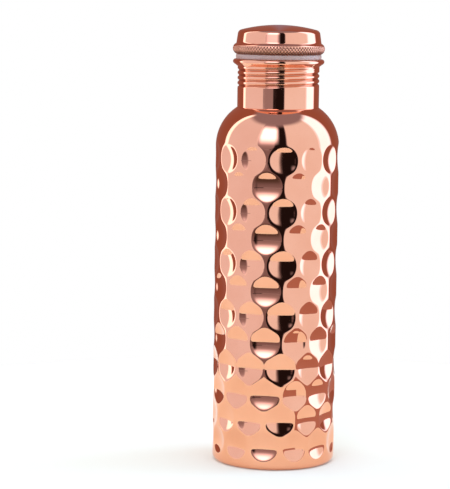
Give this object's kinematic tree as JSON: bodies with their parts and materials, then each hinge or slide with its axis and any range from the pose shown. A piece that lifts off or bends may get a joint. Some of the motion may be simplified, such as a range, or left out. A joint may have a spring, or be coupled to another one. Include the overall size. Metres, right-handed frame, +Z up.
{
  "type": "copper water bottle with screw lid",
  "caption": "Tall round copper bottle with dimpled wall, plain threaded neck, rolled lip and a domed screw lid with a knurled grip bead and silicone seal.",
  "frame": {"origin": "middle of the ring that the bottle stands on, on the table", "axes": "+Z up along the bottle's axis, -Y towards the viewer"},
  "size_m": [0.078, 0.078, 0.2776],
  "materials": {
    "wall_copper": "mirror-polished copper",
    "neck_copper": "mirror-polished copper",
    "base_copper": "polished copper",
    "lid_copper": "mirror-polished copper, knurled on the bead",
    "plug_copper": "polished copper",
    "braze": "brazed filler",
    "silicone": "translucent matte silicone"
  },
  "bodies": {
    "bottle": {"body_shell": "wall_copper", "neck_collar": "neck_copper", "base_plate": "base_copper", "neck_braze": "braze", "base_braze": "braze"},
    "seal": {"seal_ring": "silicone"},
    "lid": {"lid_cover": "lid_copper", "lid_plug": "plug_copper", "lid_braze": "braze"}
  },
  "joints": [
    {"name": "thread_rise", "type": "slide", "parent": "bottle", "child": "seal", "axis": [0, 0, 1], "range_m": [0, 0.01921]},
    {"name": "lid_turn", "type": "hinge", "parent": "seal", "child": "lid", "pos_m": [0, 0, 0], "axis": [0, 0, 1], "range_deg": [0, 2160]}
  ],
  "couplings": [
    {"joint": "thread_rise", "follows": "lid_turn", "m_per_rad": 0.0005093}
  ]
}
